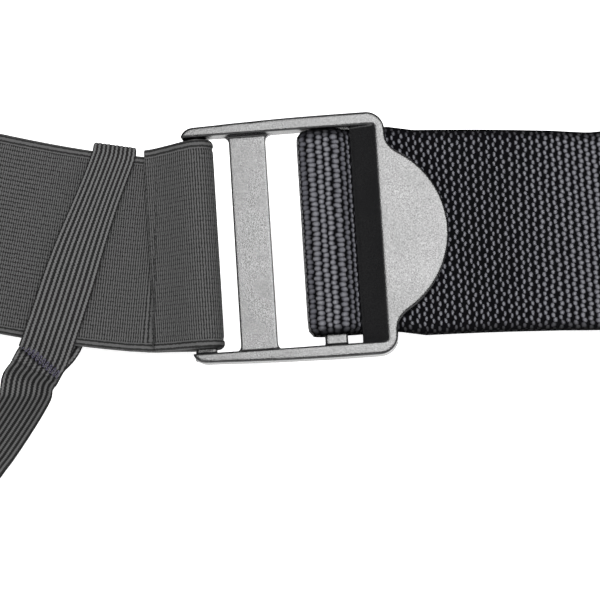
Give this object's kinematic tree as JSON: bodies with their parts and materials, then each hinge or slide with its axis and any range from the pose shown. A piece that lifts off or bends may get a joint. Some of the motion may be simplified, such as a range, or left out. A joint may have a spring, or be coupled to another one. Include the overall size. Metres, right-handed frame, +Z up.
{
  "type": "dive weight belt",
  "caption": "Buckled dive weight belt of nylon webbing and elastic with a ladder-lock buckle, sliding lead weights, keepers and a ribbed elastic crotch strap.",
  "frame": {"origin": "bottom centre of the bounding box, on the surface that the weights stand on", "axes": "+Z up; the belt's front, with the buckle, faces -Y; +X is to the right as the front is seen"},
  "size_m": [0.3716, 0.4346, 0.078],
  "materials": {
    "buckle_plastic": "black moulded acetal with a fine satin grain that shines light grey under a broad light",
    "nylon_webbing": "coarse black woven nylon",
    "knitted_elastic": "charcoal knitted elastic with corded edges",
    "ribbed_elastic": "dark ribbed elastic tape",
    "cast_lead": "dull grey cast lead with rounded edges",
    "stainless_steel": "tumbled stainless steel",
    "sewing_thread": "bonded polyester thread"
  },
  "bodies": {
    "belt": {"webbing_belt": "nylon_webbing", "webbing_tail": "nylon_webbing", "elastic_band": "knitted_elastic", "loop_seam_thread": "sewing_thread", "belt_joint_thread": "sewing_thread", "crotch_strap": "ribbed_elastic", "weight_keeper_1": "stainless_steel", "weight_keeper_2": "stainless_steel", "weight_keeper_3": "stainless_steel", "weight_keeper_4": "stainless_steel"},
    "buckle": {"buckle_frame": "buckle_plastic", "webbing_bight": "nylon_webbing"},
    "front_loop": {"crotch_strap_front_loop": "ribbed_elastic", "front_bar_tack_thread": "sewing_thread"},
    "rear_loop": {"crotch_strap_rear_loop": "ribbed_elastic", "rear_bar_tack_thread": "sewing_thread"},
    "weight_1": {"lead_weight_1": "cast_lead"},
    "weight_2": {"lead_weight_2": "cast_lead"},
    "weight_3": {"lead_weight_3": "cast_lead"},
    "weight_4": {"lead_weight_4": "cast_lead"}
  },
  "joints": [
    {"name": "buckle_lift", "type": "hinge", "parent": "belt", "child": "buckle", "pos_m": [0.00711, -0.09183, 0.02944], "axis": [0.0732, -0.5461, -0.8345], "range_deg": [0, 40]},
    {"name": "weight_slide_1", "type": "slide", "parent": "belt", "child": "weight_1", "axis": [-0.2419, 0.9703, 0], "range_m": [-0.007, 0.007]},
    {"name": "weight_slide_2", "type": "slide", "parent": "belt", "child": "weight_2", "axis": [-0.866, 0.5, 0], "range_m": [-0.007, 0.007]},
    {"name": "weight_slide_3", "type": "slide", "parent": "belt", "child": "weight_3", "axis": [-0.866, -0.5, 0], "range_m": [-0.007, 0.007]},
    {"name": "weight_slide_4", "type": "slide", "parent": "belt", "child": "weight_4", "axis": [-0.2419, -0.9703, 0], "range_m": [-0.007, 0.007]},
    {"name": "front_loop_slide", "type": "slide", "parent": "belt", "child": "front_loop", "axis": [0.9913, -0.0265, -0.1293], "range_m": [-0.003, 0]},
    {"name": "rear_loop_slide", "type": "slide", "parent": "belt", "child": "rear_loop", "axis": [0, 1, 0], "range_m": [-0.004, 0.02]}
  ]
}
